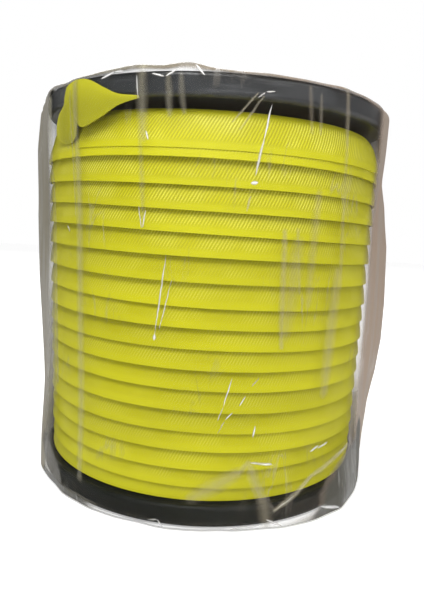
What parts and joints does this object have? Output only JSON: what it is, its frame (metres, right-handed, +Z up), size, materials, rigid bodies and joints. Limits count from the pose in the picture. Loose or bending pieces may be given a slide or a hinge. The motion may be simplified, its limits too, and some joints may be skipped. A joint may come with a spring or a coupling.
{
  "type": "reel of flat web",
  "caption": "Flanged plastic reel wound with narrow flat twill web, its free end over the rim, in a clear film bag that lifts off",
  "frame": {"origin": "centre of the lower rim's standing face, on the reel's axis", "axes": "+Z up along the reel's axis; -Y is the front, where the free end lies to the left; the bag's creases point along +X and -X"},
  "size_m": [0.228, 0.2056, 0.22],
  "materials": {
    "reel_plastic": "black moulded polypropylene, semi-gloss, faint scuffs",
    "web": "yellow polyester twill with plain selvedges and a satin sheen",
    "film": "clear polythene film, creased, with sharp highlights"
  },
  "bodies": {
    "reel": {"lower_flange": "reel_plastic", "upper_flange": "reel_plastic", "barrel": "reel_plastic", "web_start": "web", "web_pack": "web", "web_outer_turns": "web", "web_tail": "web"},
    "bag": {"film_bag": "film"}
  },
  "joints": [
    {"name": "bag_lift", "type": "slide", "parent": "reel", "child": "bag", "axis": [0, 0, 1], "range_m": [0, 0.24]}
  ]
}
